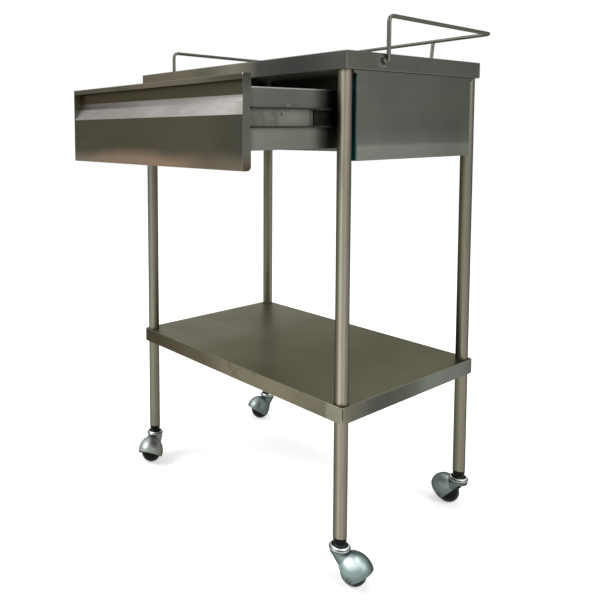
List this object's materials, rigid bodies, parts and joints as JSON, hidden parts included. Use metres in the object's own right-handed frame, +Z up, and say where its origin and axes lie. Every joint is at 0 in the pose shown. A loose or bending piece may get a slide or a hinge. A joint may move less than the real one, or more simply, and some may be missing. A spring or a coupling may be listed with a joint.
{
  "type": "instrument table",
  "caption": "Stainless steel ward trolley: flat top with a guard rail, one drawer on telescopic slides, a lower shelf and hooded ball casters.",
  "frame": {"origin": "centre of the leg rectangle, on the floor", "axes": "+X to the right along the drawer front, +Y to the back, +Z up"},
  "size_m": [0.714, 0.7019, 1.0813],
  "materials": {
    "stainless": "satin",
    "zinc_plate": "gloss",
    "plated_pin": "satin",
    "black_plastic": "matte",
    "black_wheel": "gloss",
    "slide_steel": "satin",
    "slide_bearing": "gloss",
    "fasteners": "satin"
  },
  "bodies": {
    "frame": {"back_panel": "stainless", "caster_cap_back_left": "zinc_plate", "caster_cap_back_right": "zinc_plate", "caster_cap_front_left": "zinc_plate", "caster_cap_front_right": "zinc_plate", "caster_plug_back_left": "black_plastic", "caster_plug_back_right": "black_plastic", "caster_plug_front_left": "black_plastic", "caster_plug_front_right": "black_plastic", "caster_stem_back_left": "plated_pin", "caster_stem_back_right": "plated_pin", "caster_stem_front_left": "plated_pin", "caster_stem_front_right": "plated_pin", "guard_rail": "stainless", "leg_back_left": "stainless", "leg_back_right": "stainless", "leg_front_left": "stainless", "leg_front_right": "stainless", "rail_posts": "stainless", "rim_rivets": "fasteners", "shelf_tray": "stainless", "shelf_welds": "stainless", "side_panel_left": "stainless", "side_panel_right": "stainless", "slide_bracket_left": "slide_steel", "slide_bracket_right": "slide_steel", "slide_cabinet_left": "slide_steel", "slide_cabinet_right": "slide_steel", "top_tray": "stainless", "top_welds": "stainless"},
    "drawer": {"drawer_box": "stainless", "drawer_front": "stainless", "drawer_screws": "fasteners", "slide_drawer_left": "slide_steel", "slide_drawer_right": "slide_steel"},
    "middle_slide_left": {"slide_balls_left": "slide_bearing", "slide_middle_left": "slide_steel"},
    "middle_slide_right": {"slide_balls_right": "slide_bearing", "slide_middle_right": "slide_steel"},
    "swivel_front_left": {"caster_axle_front_left": "plated_pin", "caster_hood_front_left": "zinc_plate", "caster_washer_front_left": "black_plastic"},
    "wheel_front_left": {"caster_wheel_front_left": "black_wheel"},
    "swivel_front_right": {"caster_axle_front_right": "plated_pin", "caster_hood_front_right": "zinc_plate", "caster_washer_front_right": "black_plastic"},
    "wheel_front_right": {"caster_wheel_front_right": "black_wheel"},
    "swivel_back_left": {"caster_axle_back_left": "plated_pin", "caster_hood_back_left": "zinc_plate", "caster_washer_back_left": "black_plastic"},
    "wheel_back_left": {"caster_wheel_back_left": "black_wheel"},
    "swivel_back_right": {"caster_axle_back_right": "plated_pin", "caster_hood_back_right": "zinc_plate", "caster_washer_back_right": "black_plastic"},
    "wheel_back_right": {"caster_wheel_back_right": "black_wheel"}
  },
  "joints": [
    {"name": "drawer_slide", "type": "slide", "parent": "frame", "child": "drawer", "axis": [0, -1, 0], "range_m": [-0.217, 0.15]},
    {"name": "middle_slide_left", "type": "slide", "parent": "frame", "child": "middle_slide_left", "axis": [0, -1, 0], "range_m": [-0.1085, 0.075]},
    {"name": "middle_slide_right", "type": "slide", "parent": "frame", "child": "middle_slide_right", "axis": [0, -1, 0], "range_m": [-0.1085, 0.075]},
    {"name": "swivel_front_left", "type": "hinge", "parent": "frame", "child": "swivel_front_left", "pos_m": [-0.308, -0.208, 0.064], "axis": [0, 0, 1], "continuous": true},
    {"name": "roll_front_left", "type": "hinge", "parent": "swivel_front_left", "child": "wheel_front_left", "pos_m": [-0.29369, -0.2309, 0.025], "axis": [0.848, 0.5299, 0], "continuous": true},
    {"name": "swivel_front_right", "type": "hinge", "parent": "frame", "child": "swivel_front_right", "pos_m": [0.308, -0.208, 0.064], "axis": [0, 0, 1], "continuous": true},
    {"name": "roll_front_right", "type": "hinge", "parent": "swivel_front_right", "child": "wheel_front_right", "pos_m": [0.33303, -0.19789, 0.025], "axis": [-0.3746, 0.9272, 0], "continuous": true},
    {"name": "swivel_back_left", "type": "hinge", "parent": "frame", "child": "swivel_back_left", "pos_m": [-0.308, 0.208, 0.064], "axis": [0, 0, 1], "continuous": true},
    {"name": "roll_back_left", "type": "hinge", "parent": "swivel_back_left", "child": "wheel_back_left", "pos_m": [-0.31269, 0.18141, 0.025], "axis": [0.9848, -0.1736, 0], "continuous": true},
    {"name": "swivel_back_right", "type": "hinge", "parent": "frame", "child": "swivel_back_right", "pos_m": [0.308, 0.208, 0.064], "axis": [0, 0, 1], "continuous": true},
    {"name": "roll_back_right", "type": "hinge", "parent": "swivel_back_right", "child": "wheel_back_right", "pos_m": [0.28107, 0.20988, 0.025], "axis": [-0.0698, -0.9976, 0], "continuous": true}
  ],
  "couplings": [
    {"joint": "middle_slide_left", "follows": "drawer_slide", "ratio": 0.5},
    {"joint": "middle_slide_right", "follows": "drawer_slide", "ratio": 0.5}
  ]
}
